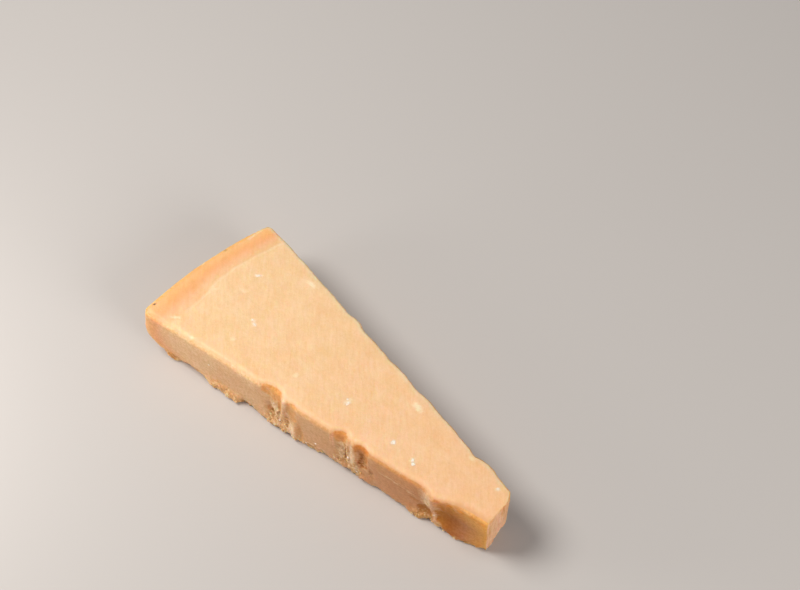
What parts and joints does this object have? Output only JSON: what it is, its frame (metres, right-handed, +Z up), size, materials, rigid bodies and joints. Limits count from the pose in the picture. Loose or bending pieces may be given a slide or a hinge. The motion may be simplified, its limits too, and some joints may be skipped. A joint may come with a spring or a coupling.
{
  "type": "parmesan chunk",
  "caption": "Narrow wedge of aged hard cheese with a golden rind at the wide end, a blunt tip, broken places along its sides and white crystals in the paste.",
  "frame": {"origin": "middle of the bounding box, on the plane of the flat base the chunk rests on", "axes": "+X from the rind to the blunt tip, +Y from the side with the deep breaks to the other cut side, +Z up from the base"},
  "size_m": [0.172, 0.0672, 0.03],
  "materials": {
    "paste": "matte, slightly translucent aged cheese, cream to peach, deeper orange where it broke, golden tan at the rind"
  },
  "bodies": {
    "root": {"chunk": "paste"}
  },
  "joints": []
}
